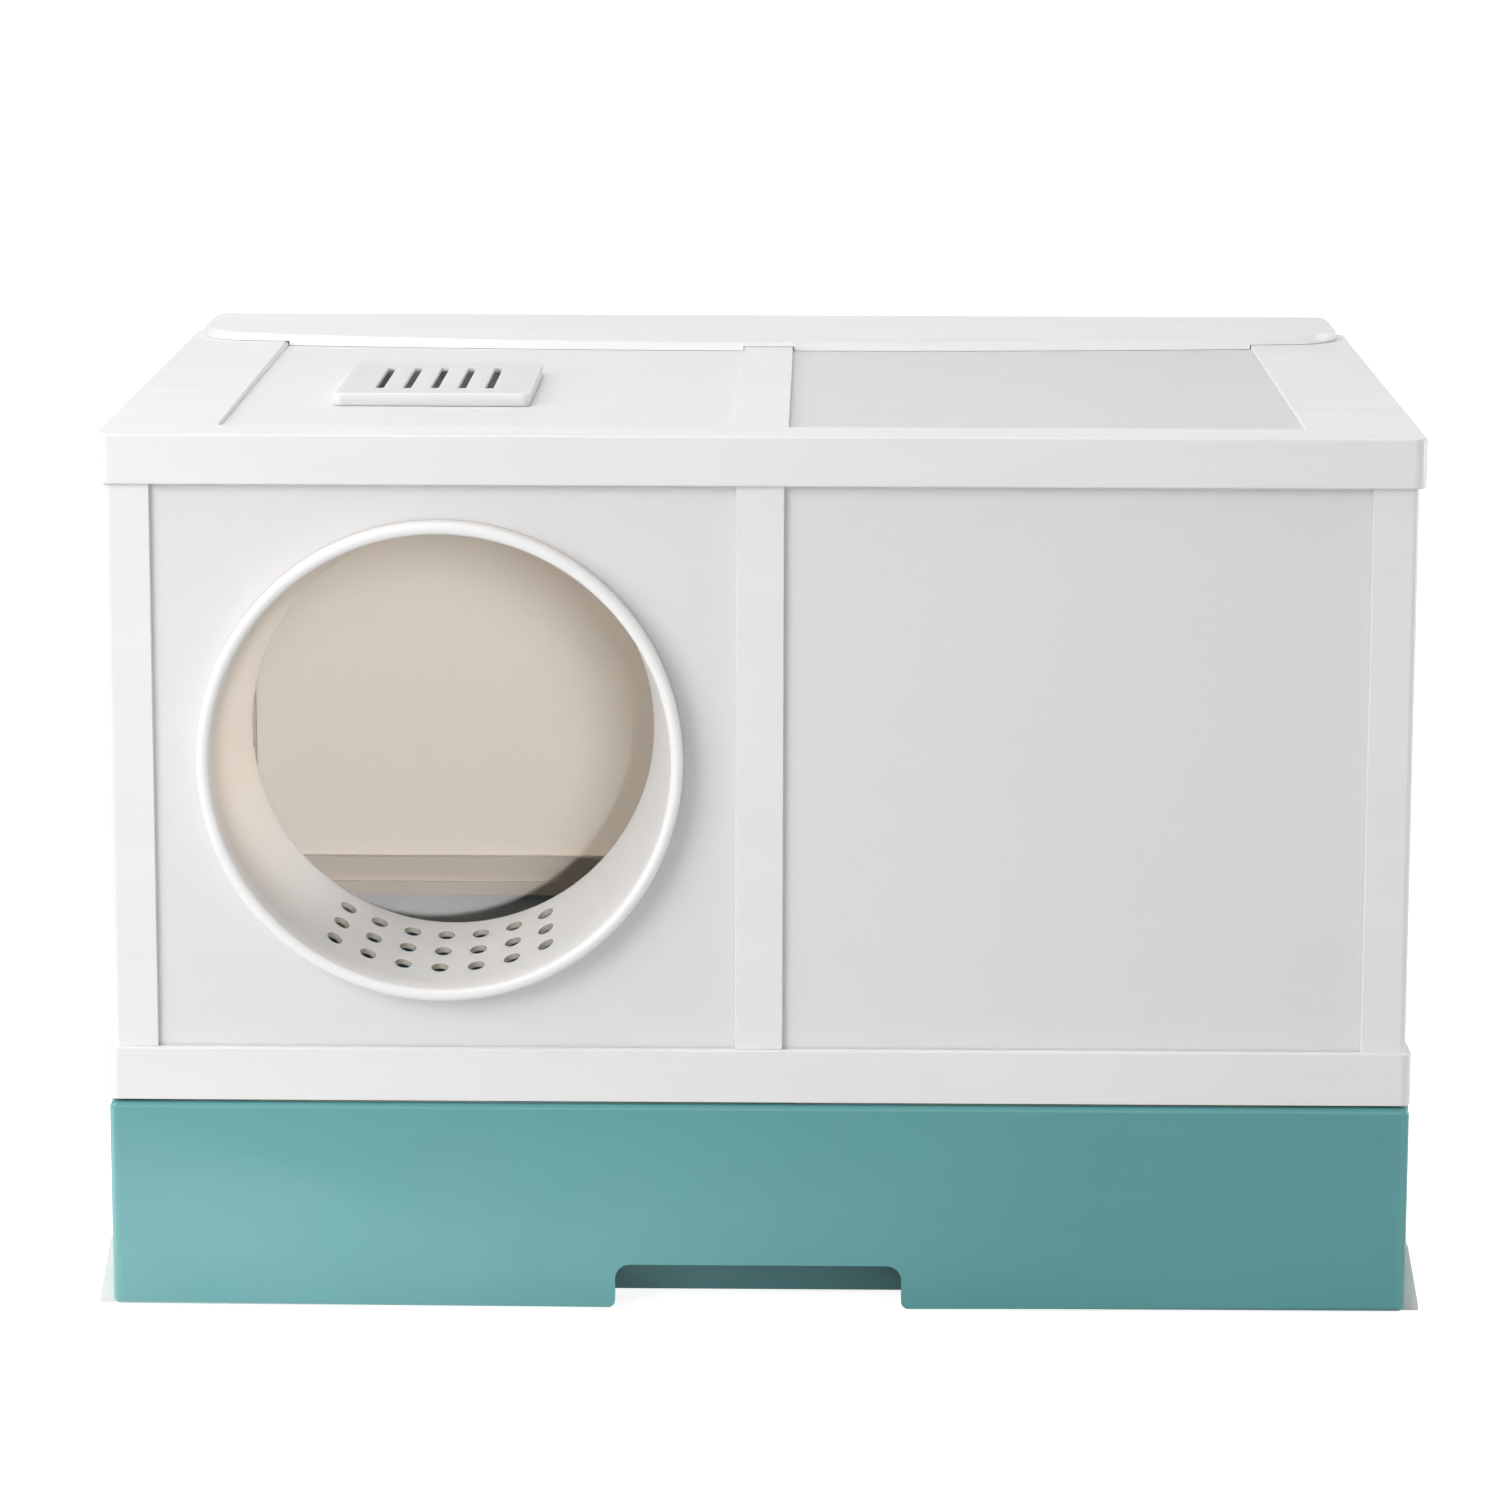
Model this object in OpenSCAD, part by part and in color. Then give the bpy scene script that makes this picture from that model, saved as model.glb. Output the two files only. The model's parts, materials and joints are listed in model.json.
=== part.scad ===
// Enclosed litter box: a framed cabin with a round entry tunnel, a hinged lid and a pull-out drawer.
// Millimetres. X runs to the right, Y to the back and Z up; the origin is on the floor under the middle.

/* [Overall size] */
// Width of the lid
lid_w = 580; // [540:1:700]
// Depth of the lid, front to back
lid_d = 410; // [360:1:500]
// Height of the lid's flat top above the floor
box_h = 394; // [385:1:480]

/* [Lid] */
// Height of the lid's skirt
skirt_h = 22; // [16:1:24]
// Thickness of the lid's top plate
plate_t = 2; // [1.6:0.1:3]
// Thickness of the lid's skirt
skirt_t = 2; // [1.6:0.1:3]
// Radius of the lid's upright corners
lid_corner_r = 6; // [4:0.5:12]
// Width of the rib between the lid's two openings
rib_w = 24; // [20:1:40]
// Width of the lid's border at each side
side_border = 50; // [36:1:70]
// Width of the lid's border at the front
front_border = 33; // [26:1:60]
// Width of the lid's border at the rear
rear_border = 40; // [36:1:60]

/* [Rear cap] */
// Depth of the raised cap along the lid's rear edge, at its middle
cap_d = 65; // [50:1:90]
// How far the ends of the cap's front edge fall back from its middle
cap_bow = 22; // [5:1:40]
// Height of the cap's front edge above the lid
cap_front_h = 2; // [2:0.1:5]
// Height of the cap's rear edge above the lid
cap_rear_h = 8.5; // [6:0.1:14]
// Radius of the cap's front corners
cap_corner_r = 30; // [5:1:34]
// Radius of the upper corners at the cap's two ends
cap_end_r = 8; // [2:0.5:8]
// Inset of the cap from the lid's sides
cap_side_inset = 5; // [2:0.5:20]
// Inset of the cap from the lid's rear edge
cap_rear_inset = 2; // [1:0.5:10]

/* [Vent] */
// Width of the vent cover
vent_w = 90; // [70:1:120]
// Depth of the vent cover, front to back
vent_d = 121; // [90:1:150]
// Height of the vent cover's top above the lid
vent_h = 4; // [3:0.5:10]
// Wall thickness of the vent cover
vent_t = 1.8; // [1.2:0.1:2.5]
// Place of the vent's middle, left of the lid's middle
vent_left = 151.5; // [120:0.5:165]
// Place of the vent's middle, in front of the lid's middle
vent_front = 27.5; // [0:0.5:40]
// Number of air slots in the vent cover
vent_slots = 5; // [3:1:5]
// Distance from one air slot to the next
vent_slot_pitch = 12.6; // [8:0.1:14]
// Width of an air slot
vent_slot_w = 3.8; // [2:0.1:5]
// Length of an air slot
vent_slot_len = 82; // [40:1:84]
// Thickness of the filter pad
filter_h = 7; // [4:0.5:9]

/* [Walls] */
// Thickness of a wall's frame, outside to inside
frame_t = 10; // [9:0.5:14]
// Width of the corner posts on the front and rear walls
post_w = 20; // [18:1:28]
// Width of the corner posts on the side walls
side_post_w = 16; // [14:1:28]
// Width of the stile between the two panels of a long wall
stile_w = 21; // [20:1:30]
// Height of the rail along the top of each wall
top_rail_h = 17.6; // [12:0.1:24]
// Thickness of the wall panels
panel_t = 2; // [1.5:0.1:3]
// Depth of a panel's face behind its frame's face
panel_recess = 2.5; // [2.3:0.1:3.5]
// Depth of the groove that holds a panel's edge
groove = 4.5; // [3:0.5:6]
// How far the frame's inner lip stands past its outer one, behind a panel
back_lip = 4; // [3:0.5:6]
// Diameter of the shank of a panel peg
peg_d = 2.4; // [2:0.1:3]
// Height above the floor of the lower peg on each post
peg_z = 182; // [150:1:220]
// Distance between the two pegs on a post
peg_pitch = 30; // [15:1:60]

/* [Base] */
// Height of the underside of the band that carries the walls
band_z = 96; // [80:1:120]
// Height of the band
band_h = 23.5; // [20:0.5:40]
// How far the band stands out past the walls
band_step = 2.5; // [1:0.1:3]
// Wall thickness of the base
base_t = 3; // [2.5:0.1:4]
// Inset of the skirts and of the drawer's front from the band
base_inset = 0.5; // [0.3:0.1:3]
// Depth of the runners' tops below the band
runner_drop = 15; // [10:1:30]
// Length of a foot, front to back
foot_len = 60; // [30:1:100]
// How far a foot flares out past the drawer's front
foot_flare = 7; // [4:0.5:16]
// Height of a foot's flare
foot_h = 30; // [20:1:50]

/* [Entry] */
// Inner diameter of the entry's mouth
entry_d = 203; // [150:1:204]
// Width of the entry's rounded rim
rim_w = 5.5; // [4:0.5:8]
// How far the rim stands out past the front wall
rim_out = 9; // [6:0.5:14]
// Length of the tunnel behind the front wall's face
tunnel_len = 84; // [60:1:110]
// Inner diameter of the tunnel's rear end
tunnel_end_d = 183; // [130:1:190]
// Wall thickness of the tunnel
tunnel_t = 2.5; // [2:0.1:4]
// How far the entry's middle is left of its panel's middle
entry_left = 1.7; // [0:0.1:3]
// How far the entry's middle is above its panel's middle
entry_up = 3.7; // [0:0.1:5]
// Number of rows of holes in the tunnel's floor
hole_rows = 3; // [1:1:3]
// Number of holes in a row
holes_per_row = 7; // [3:1:9]
// Width of a hole in the tunnel's floor
hole_w = 7.7; // [4:0.1:9]
// Length of a hole in the tunnel's floor
hole_len = 11; // [9.5:0.5:14]
// Distance from one hole to the next, around the tunnel
hole_pitch = 16.9; // [12:0.1:18]
// Degrees that the rows of holes are turned to the left
hole_turn = 1.5; // [0:0.1:4]
// Distance from one row to the next, along the tunnel
row_pitch = 22; // [16:1:24]
// Distance from the front wall's face back to the first row
first_row = 22; // [20:1:30]

/* [Drawer] */
// Gap between the drawer's front and the floor
drawer_z = 1.2; // [1:0.1:3]
// Gap between the drawer's front and the band above it
drawer_gap = 1.2; // [0.8:0.1:3]
// Thickness of the drawer's front
fascia_t = 3; // [2.5:0.1:5]
// Radius of the corners of the drawer's front
fascia_corner_r = 3; // [1:0.5:8]
// Width of the hand slot
slot_w = 128; // [90:1:200]
// Height of the hand slot's top above the floor
slot_top = 21; // [18:1:35]
// Radius of the hand slot's upper corners
slot_r = 6.7; // [3:0.1:10]
// Radius where the hand slot runs out at the bottom edge
slot_flare_r = 3.3; // [1:0.1:5]
// Wall thickness of the litter tray
tray_t = 2.5; // [2:0.1:4]
// Height of the tray's underside above the floor
tray_z = 2; // [1.5:0.1:4]
// Depth of the rim at the tray's front, behind the drawer's front
tray_front_rim = 12; // [10:0.5:20]
// How far the tray's front wall leans back at the bottom
front_draft = 12; // [4:0.5:16]
// How far the tray's side walls lean in at the bottom
side_draft = 8; // [3:0.5:14]
// How far the tray's rear wall leans in at the bottom
rear_draft = 4; // [2:0.5:14]

/* [Hinge] */
// Radius of a hinge pin
pin_r = 1.6; // [1.2:0.1:2]
// Radius of a hinge knuckle
knuckle_r = 3.6; // [3:0.1:4.4]
// Width of the lid's knuckle at each hinge
knuckle_w = 8.6; // [6:0.1:9]
// How far a hinge's sides stay inside its post's
hinge_margin = 0.5; // [0.3:0.1:2]

/* [Hidden] */

$fn = 96;

// Clearances
cut = 1;            // a cutter runs this far past the face it cuts
fit_gap = 0.15;     // a panel in its groove, on each side
seat_gap = 0.2;     // one piece resting on another
slide_gap = 0.3;    // one piece sliding past another
skirt_gap = 1;      // the lid's skirt outside the walls, with room for its swing
band_gap = 0.7;     // the panels' faces inside the band
base_gap = 0.7;     // the closed drawer's front before the edges of the base
rim_gap = 1;        // the tray's rim inside the skirts, and its tub inside the runners
rear_gap = 2;       // the tray's rim before the rear skirt
foot_gap = 0.5;     // a foot's ends inside the ends of its skirt
entry_gap = 0.4;    // the tunnel in its panel, and its lugs in the ring's notches
filter_gap = 1;     // the filter pad in its tray, and the tray in the lid's sheet
flange_gap = 0.7;   // the filter tray's flange inside the vent cover
tab_gap = 0.8;      // the vent cover's tabs above the filter pad
knuckle_gap = 1.8;  // the hinges' knuckles behind the wall, with room for the lid's swing
lug_gap = 0.4;      // the hinges' lugs below the lid's skirt
lip_gap = 0.5;      // the cap's lips inside the lid's openings
pin_gap = 0.05;     // a hinge pin in its bore
screw_gap = 0.2;    // a screw's shank in its hole

// Walls: the outer faces, and the heights that the frames and panels run between
wall_x = lid_w / 2 - skirt_t - skirt_gap;
wall_y = lid_d / 2 - skirt_t - skirt_gap;
band_top = band_z + band_h;
ledge_rise = 8;     // the ledge's underside above the band's
ledge_z = band_z + ledge_rise;
frame_z = ledge_z + base_t + seat_gap;
frame_top = box_h - plate_t - 2 * seat_gap;
foot_step = panel_recess - fit_gap;
skirt_z = box_h - skirt_h;
sill_h = 4.5;       // the part of a frame under its panel
panel_z = frame_z + sill_h;
rail_z = frame_top - top_rail_h;
panel_top = rail_z + groove - fit_gap;
back_z = band_top + back_lip;
side_wall_len = 2 * (wall_y - frame_t - seat_gap);
post_r = lid_corner_r - skirt_t - skirt_gap;
tongue_w = 3;       // the side walls' tongues in the long walls
tongue_len = 3;
tongue_x = wall_x - frame_t / 2;
panel_edge = groove - fit_gap;
panel_back = panel_recess + panel_t + fit_gap;
peg_head_d = 5;
peg_head_h = 1.2;
peg_in = 0.8;       // a peg's axis inside the window's edge

long_windows = [
    [-wall_x + post_w, -stile_w / 2],
    [stile_w / 2, wall_x - post_w]
];
side_windows = [[-side_wall_len / 2 + side_post_w, side_wall_len / 2 - side_post_w]];

// The drawer's front, which the base's edges stand behind
fascia_y = -lid_d / 2;
fascia_back = fascia_y + fascia_t;
fascia_top = band_z - drawer_gap;
fascia_h = fascia_top - drawer_z;
return_len = 2.8;   // its turned-back edges
return_t = 2.5;

// Base
band_x = wall_x + band_step;
band_y = wall_y + band_step;
band_t = band_step + panel_recess - band_gap;
band_corner_r = 5;
lip_t = 2.2;        // the upstand along the ledge's inner edge
lip_h = 4;
ledge_x = wall_x - frame_t - seat_gap - lip_t;
ledge_y = wall_y - frame_t - seat_gap - lip_t;
base_side_x = band_x - base_inset;
base_rear_y = band_y - base_inset;
base_front_y = fascia_back + return_len + base_gap;
base_z = 3;         // the skirts' lower edges above the floor
runner_z = band_z - runner_drop;
hook_t = 3;         // a foot's hook inside its skirt
hook_h = 12;
sole_h = 2;
foot_top_t = 1.4;   // a foot's upper edge

// Entry
entry_x = (long_windows[0][0] + long_windows[0][1]) / 2 - entry_left;
entry_z = (band_top + skirt_z) / 2 + entry_up;
mouth_r = entry_d / 2;
tunnel_end_r = tunnel_end_d / 2;
rim_r = mouth_r + rim_w;
rim_round = rim_w / 2;
rim_blend = 0.1;    // the rim's round bead stands this far past the wall below it
taper = (mouth_r - tunnel_end_r) / (tunnel_len + rim_out - rim_round);
ring_t = 6;
ring_w = 9;
ring_z = -panel_recess - panel_t - seat_gap;
lug_h = 3;
lug_w = 12;
lug_stand = 1.2;    // a lug past the tunnel's wall
lug_z = ring_z - ring_t - seat_gap;
lug_r = tunnel_out(lug_z) + lug_stand;
lug_angles = [45 : 90 : 315];
lug_turn = 30;      // the ring's turn from its notches to its locked place
hole_angle = hole_pitch / mouth_r * 180 / PI;
hole_sides = 18;

// Screws
screw_r = 1.5;
screw_head_r = 3.5;
screw_head_h = 2.2;
screw_tail = 2;     // a screw's point past what it holds
inner_screw_x = 90; // the inner two screws of each row

// Drawer
drawer_w = 2 * base_side_x;
side_rim_w = 10;    // the tray's rim at its sides
rear_rim_w = 6;     // the tray's rim at its rear
rim_x = base_side_x - base_t - rim_gap;
tub_x = rim_x - side_rim_w;
rim_z = runner_z + slide_gap;
rim_top = rim_z + tray_t;
flange_z = rim_top + seat_gap;
flange_top = flange_z + return_t;
tray_front = fascia_back + tray_front_rim;
tray_rim_rear = base_rear_y - base_t - rear_gap;
tray_rear = tray_rim_rear - rear_rim_w;
drawer_screw_in = 40;   // the outer screws inside the tub's sides
drawer_screw_x = screw_row(tub_x - drawer_screw_in);
drawer_screw_y = (fascia_back + tray_front) / 2;

// Lid
open_x = [rib_w / 2, lid_w / 2 - side_border];
open_y = [-lid_d / 2 + front_border, lid_d / 2 - rear_border];
seat_w = 7;         // the seat under the lid, past an opening's edge
lid_groove = 4.5;
lid_lip = 4;
lid_lip_t = 2;
sheet_top = box_h - plate_t - seat_gap / 2;
sheet_z = sheet_top - panel_t;
vent_x = -vent_left;
vent_y = -vent_front;
vent_foot = sheet_top + slide_gap;
filter_margin = 8.5;    // the filter pad inside the vent cover's sides
filter_w = vent_w - 2 * filter_margin;
filter_d = vent_d - 2 * filter_margin;
filter_tray_t = 1.5;
filter_tray_w = filter_w + 2 * (filter_gap + filter_tray_t);
filter_tray_d = filter_d + 2 * (filter_gap + filter_tray_t);
filter_flange_t = 1.2;
filter_tray_h = 13;
filter_tray_z = sheet_top + seat_gap - filter_tray_h;
cap_x = lid_w / 2 - cap_side_inset;
cap_rear = lid_d / 2 - cap_rear_inset;
cap_front = cap_rear - cap_d;
cap_bow_r = (cap_x * cap_x + cap_bow * cap_bow) / (2 * cap_bow);
bow_sides = 720;
cap_t = 2.2;
corner_dip = 0.6;       // how far the cap's corner arcs reach past its bow, which cuts them
cap_wall = 4;
cap_z = box_h + seat_gap;
cap_screw_in = 35;      // the outer screws inside the cap's ends
cap_screw_x = screw_row(cap_x - cap_screw_in);
cap_screw_y = (open_y[1] + seat_w + wall_y - frame_t) / 2;

// Hinges: one behind each rear post and one behind the stile
hinge_y = wall_y + knuckle_r + knuckle_gap;
hinge_z = skirt_z - knuckle_r - lug_gap;
hinge_w = post_w - 2 * hinge_margin;
hinge_x = [-wall_x + post_w / 2, 0, wall_x - post_w / 2];
lug_face = knuckle_w / 2 + slide_gap;

white = [0.95, 0.95, 0.95];
panel_grey = [0.86, 0.87, 0.89];
foot_grey = [0.82, 0.83, 0.84];
teal = [0.35, 0.62, 0.60];
dark_teal = [0.24, 0.45, 0.45];
frosted = [0.88, 0.88, 0.86, 0.7];
steel = [0.6, 0.6, 0.62];
fleece = [0.8, 0.8, 0.79];

// Places of a row of four screws, from the place of its outer two
function screw_row(outer) = [-outer, -inner_screw_x, inner_screw_x, outer];

// A box between two opposite corners
module block(low, high) {
    translate(low)
        cube(high - low);
}

// A rectangle with round corners, about the origin
module rounded_rect(w, d, r) {
    square([w - 2 * r, d], center = true);
    square([w, d - 2 * r], center = true);
    for (x = [-1, 1], y = [-1, 1])
        translate([x * (w / 2 - r), y * (d / 2 - r)])
            circle(r);
}

// A ring of a rectangular plan between two heights, given by its outer and inner half sizes
module band_ring(outer, inner, low, high, r) {
    translate([0, 0, low])
        linear_extrude(high - low)
            difference() {
                rounded_rect(2 * outer[0], 2 * outer[1], r);
                square([2 * inner[0], 2 * inner[1]], center = true);
            }
}

// Stands a wall up: its outer face, drawn at y = 0, goes out to a distance and turns to a side
module at_wall(angle, distance) {
    rotate([0, 0, angle])
        translate([0, -distance, 0])
            children();
}

// A wall's frame: one block, stepped back at its foot to drop inside the band, with panel seats cut in it
module wall_frame(length, windows) {
    difference() {
        block([-length / 2, 0, frame_z], [length / 2, frame_t, frame_top]);
        block([-length / 2 - cut, -cut, frame_z - cut], [length / 2 + cut, foot_step, band_top]);
        for (w = windows)
            panel_seat(w);
    }
}

// What one panel takes out of its frame: the window from both sides, the groove and the peg holes
module panel_seat(w) {
    block([w[0], -cut, panel_z - fit_gap], [w[1], panel_recess + cut, rail_z]);
    block(
        [w[0] - groove, panel_recess - fit_gap, panel_z - fit_gap],
        [w[1] + groove, panel_back, panel_top + fit_gap]
    );
    block([w[0] + back_lip, panel_recess, back_z], [w[1] - back_lip, frame_t + cut, rail_z - back_lip]);
    peg_places(w)
        translate([0, 0, -cut])
            cylinder(r = peg_d / 2 + screw_gap / 2, h = frame_t);
}

// Puts children at each peg of a panel, on the panel's back and facing into the cabin
module peg_places(w) {
    for (x = [w[0] + peg_in, w[1] - peg_in], z = [peg_z, peg_z + peg_pitch])
        translate([x, panel_back, z])
            rotate([-90, 0, 0])
                children();
}

// A panel, with its edges in the frame's grooves
module panel(w) {
    block(
        [w[0] - panel_edge, panel_recess, panel_z],
        [w[1] + panel_edge, panel_recess + panel_t, panel_top]
    );
}

// The pegs of a panel: a shank through the frame's inner lip and a round head inside the cabin
module pegs(w) {
    shank = frame_t - panel_back;
    peg_places(w) {
        translate([0, 0, seat_gap / 2])
            cylinder(d = peg_d, h = shank + peg_head_h / 2);
        translate([0, 0, shank + seat_gap / 2])
            cylinder(d = peg_head_d, h = peg_head_h);
    }
}

// The upright slots at a long wall's ends that take the side walls' tongues
module corner_grooves() {
    for (x = [-1, 1])
        block(
            [x * tongue_x - tongue_w / 2 - fit_gap, frame_t - tongue_len - fit_gap, frame_z - cut],
            [x * tongue_x + tongue_w / 2 + fit_gap, frame_t + cut, frame_top + cut]
        );
}

// What is cut from a long wall's ends: its outer corners, and the step that clears the band at the sides
module wall_ends() {
    for (x = [-1, 1]) {
        translate([0, 0, frame_z - cut])
            linear_extrude(frame_top - frame_z + 2 * cut)
                difference() {
                    translate([x * wall_x, 0])
                        square(2 * post_r, center = true);
                    translate([x * (wall_x - post_r), post_r])
                        circle(post_r);
                }
        translate([x * wall_x, frame_t / 2, (frame_z + band_top) / 2 - cut / 2])
            cube([2 * foot_step, frame_t + 2 * cut, band_top - frame_z + cut], center = true);
    }
}

module long_wall_frame() {
    difference() {
        wall_frame(2 * wall_x, long_windows);
        corner_grooves();
        wall_ends();
    }
}

// A side wall's frame, with a tongue along each end
module side_wall_frame() {
    wall_frame(side_wall_len, side_windows);
    for (side = [-1, 1])
        translate([side * (side_wall_len + tongue_len - cut) / 2, frame_t / 2, (frame_z + frame_top) / 2])
            cube([tongue_len + cut, tongue_w, frame_top - frame_z], center = true);
}

module front_frame() {
    color(white)
        at_wall(0, wall_y)
            long_wall_frame();
}

module rear_frame() {
    color(white) {
        at_wall(180, wall_y)
            long_wall_frame();
        hinge_lugs();
    }
}

module left_frame() {
    color(white)
        at_wall(-90, wall_x)
            side_wall_frame();
}

module right_frame() {
    color(white)
        at_wall(90, wall_x)
            side_wall_frame();
}

module front_panel_left() {
    color(panel_grey)
        difference() {
            at_wall(0, wall_y)
                panel(long_windows[0]);
            at_entry()
                translate([0, 0, -frame_t])
                    cylinder(r = tunnel_out(-panel_recess) + entry_gap, h = frame_t);
        }
}

module front_panel_right() {
    color(panel_grey)
        at_wall(0, wall_y)
            panel(long_windows[1]);
}

module rear_panel_left() {
    color(panel_grey)
        at_wall(180, wall_y)
            panel(long_windows[1]);
}

module rear_panel_right() {
    color(panel_grey)
        at_wall(180, wall_y)
            panel(long_windows[0]);
}

module left_panel() {
    color(panel_grey)
        at_wall(-90, wall_x)
            panel(side_windows[0]);
}

module right_panel() {
    color(panel_grey)
        at_wall(90, wall_x)
            panel(side_windows[0]);
}

module panel_pegs() {
    color(white) {
        for (angle = [0, 180], w = long_windows)
            at_wall(angle, wall_y)
                pegs(w);
        for (angle = [-90, 90])
            at_wall(angle, wall_x)
                pegs(side_windows[0]);
    }
}

// The base: the band, the ledge under the walls, skirts down three sides and the drawer's runners
module base_frame() {
    band_in = [band_x - band_t, band_y - band_t];
    ledge_in = [ledge_x, ledge_y];
    color(white) {
        band_ring([band_x, band_y], band_in, band_z, band_top, band_corner_r);
        band_ring(band_in + [cut, cut], ledge_in, ledge_z, ledge_z + base_t, band_corner_r);
        band_ring(ledge_in + [lip_t, lip_t], ledge_in, ledge_z, ledge_z + base_t + lip_h, lip_t / 2);
        difference() {
            union() {
                translate([0, 0, base_z])
                    linear_extrude(band_z + base_t - base_z)
                        base_plan(base_inset);
                translate([0, 0, band_z])
                    linear_extrude(base_t)
                        base_plan(cut);
            }
            block(
                [-base_side_x + base_t, base_front_y - cut, base_z - cut],
                [base_side_x - base_t, base_rear_y - base_t, band_z + base_t + cut]
            );
        }
        for (side = [-1, 1])
            runner(side);
    }
}

// Plan of the band, less an inset: its rear corners are round and its front is cut straight across
module base_plan(inset) {
    half = band_x - inset;
    rear = band_y - inset;
    intersection() {
        rounded_rect(2 * half, 2 * rear, band_corner_r - inset);
        translate([-half, base_front_y])
            square([2 * half, rear - base_front_y]);
    }
}

// A runner along the inside of a side skirt, under the tray's rim
module runner(side) {
    inner = side * (tub_x + rim_gap);
    outer = side * (base_side_x - cut);
    block(
        [min(inner, outer), base_front_y, runner_z - base_t],
        [max(inner, outer), base_rear_y - cut, runner_z]
    );
}

// A foot: a wedge that hooks under a side skirt's edge and flares out to the floor
module foot(side, end) {
    x = base_side_x;
    hook_face = x - base_t - seat_gap;
    outline = [
        [hook_face - hook_t, 0],
        [x + foot_flare, 0],
        [x + foot_flare, sole_h],
        [x + seat_gap + foot_top_t, foot_h],
        [x + seat_gap, foot_h],
        [x + seat_gap, base_z - seat_gap],
        [hook_face, base_z - seat_gap],
        [hook_face, hook_h],
        [hook_face - hook_t, hook_h]
    ];
    near = end < 0 ? base_front_y + foot_gap : base_rear_y - base_t - foot_gap - foot_len;
    color(foot_grey)
        translate([0, near + foot_len, 0])
            rotate([90, 0, 0])
                linear_extrude(foot_len)
                    polygon([for (p = outline) [side * p[0], p[1]]]);
}

module foot_front_left() {
    foot(-1, -1);
}

module foot_front_right() {
    foot(1, -1);
}

module foot_rear_left() {
    foot(-1, 1);
}

module foot_rear_right() {
    foot(1, 1);
}

// Inner and outer radius of the tunnel at a height in front of the wall's face (negative behind it)
function tunnel_in(z) = mouth_r - taper * (rim_out - rim_round - z);
function tunnel_out(z) = tunnel_in(z) + tunnel_t;

// The entry's own frame: its axis is z, pointing out of the front wall's face
module at_entry() {
    translate([entry_x, -wall_y, entry_z])
        rotate([90, 0, 0])
            children();
}

// The tunnel: a rounded rim, a tapering tube, a perforated floor and lugs behind the lock ring
module entry_tunnel() {
    rim_back = -panel_recess + seat_gap;
    rim_front = rim_out - rim_round;
    color(white)
        at_entry() {
            difference() {
                rotate_extrude() {
                    polygon([
                        [mouth_r + rim_blend, rim_front],
                        [rim_r - rim_blend, rim_front],
                        [rim_r - rim_blend, rim_back],
                        [tunnel_out(rim_back), rim_back],
                        [tunnel_out(-tunnel_len), -tunnel_len],
                        [tunnel_in(-tunnel_len), -tunnel_len]
                    ]);
                    translate([mouth_r + rim_round, rim_front])
                        circle(rim_round);
                }
                for (row = [0 : hole_rows - 1], i = [0 : holes_per_row - 1])
                    rotate([0, 0, -90 - hole_turn + (i - (holes_per_row - 1) / 2) * hole_angle])
                        translate([0, 0, -first_row - row * row_pitch])
                            floor_hole();
            }
            for (angle = lug_angles)
                rotate([0, 0, angle])
                    lock_lug();
        }
}

// An oval hole through the tunnel's wall, in the direction of x
module floor_hole() {
    rotate([0, 90, 0])
        linear_extrude(mouth_r + tunnel_t + cut)
            polygon([
                for (i = [0 : hole_sides - 1])
                    let (a = i * 360 / hole_sides)
                        [hole_len / 2 * cos(a), hole_w / 2 * sin(a)]
            ]);
}

// A low lug that holds the lock ring on the tunnel
module lock_lug() {
    intersection() {
        block([tunnel_end_r, -lug_w / 2, lug_z - lug_h], [rim_r, lug_w / 2, lug_z]);
        translate([0, 0, lug_z - lug_h - cut])
            difference() {
                cylinder(r = lug_r, h = lug_h + 2 * cut);
                translate([0, 0, -cut])
                    cylinder(r = tunnel_out(lug_z) - tunnel_t / 2, h = lug_h + 4 * cut);
            }
    }
}

// The ring that clamps the panel against the rim from inside, with notches to pass the lugs
module entry_lock_ring() {
    front_r = tunnel_out(ring_z) + seat_gap;
    back_r = tunnel_out(ring_z - ring_t) + seat_gap;
    color(white)
        at_entry()
            difference() {
                rotate_extrude()
                    polygon([
                        [front_r, ring_z],
                        [front_r + ring_w, ring_z],
                        [front_r + ring_w, ring_z - ring_t],
                        [back_r, ring_z - ring_t]
                    ]);
                for (angle = lug_angles)
                    rotate([0, 0, angle - lug_turn])
                        block(
                            [tunnel_end_r, -lug_w / 2 - entry_gap, ring_z - ring_t - cut],
                            [lug_r + entry_gap, lug_w / 2 + entry_gap, ring_z + cut]
                        );
            }
}

// Places a hinge piece at each hinge, with the pin's axis along z
module at_hinges() {
    for (x = hinge_x)
        translate([x, hinge_y, hinge_z])
            rotate([0, 90, 0])
                children();
}

// A knuckle between two places along a hinge's axis, joined to a foot of a given reach towards the wall
module knuckle(low, high, bore_r, reach, rise) {
    difference() {
        union() {
            translate([0, 0, low])
                cylinder(r = knuckle_r, h = high - low);
            block([-rise, -reach[1], low], [reach[2], -reach[0], high]);
        }
        translate([0, 0, low - cut])
            cylinder(r = bore_r, h = high - low + 2 * cut);
    }
}

// The two lugs of the rear frame at each hinge
module hinge_lugs() {
    root = [0, hinge_y - wall_y + cut, knuckle_r];
    at_hinges() {
        knuckle(-hinge_w / 2, -lug_face, pin_r + pin_gap / 2, root, knuckle_r);
        knuckle(lug_face, hinge_w / 2, pin_r + pin_gap / 2, root, knuckle_r);
    }
}

// The lid's knuckle at each hinge, hung from the skirt's lower edge
module lid_knuckles() {
    web = [hinge_y - lid_d / 2, hinge_y - wall_y - skirt_gap, 0];
    at_hinges()
        knuckle(-knuckle_w / 2, knuckle_w / 2, pin_r + pin_gap, web, skirt_z - hinge_z + cut);
}

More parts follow.
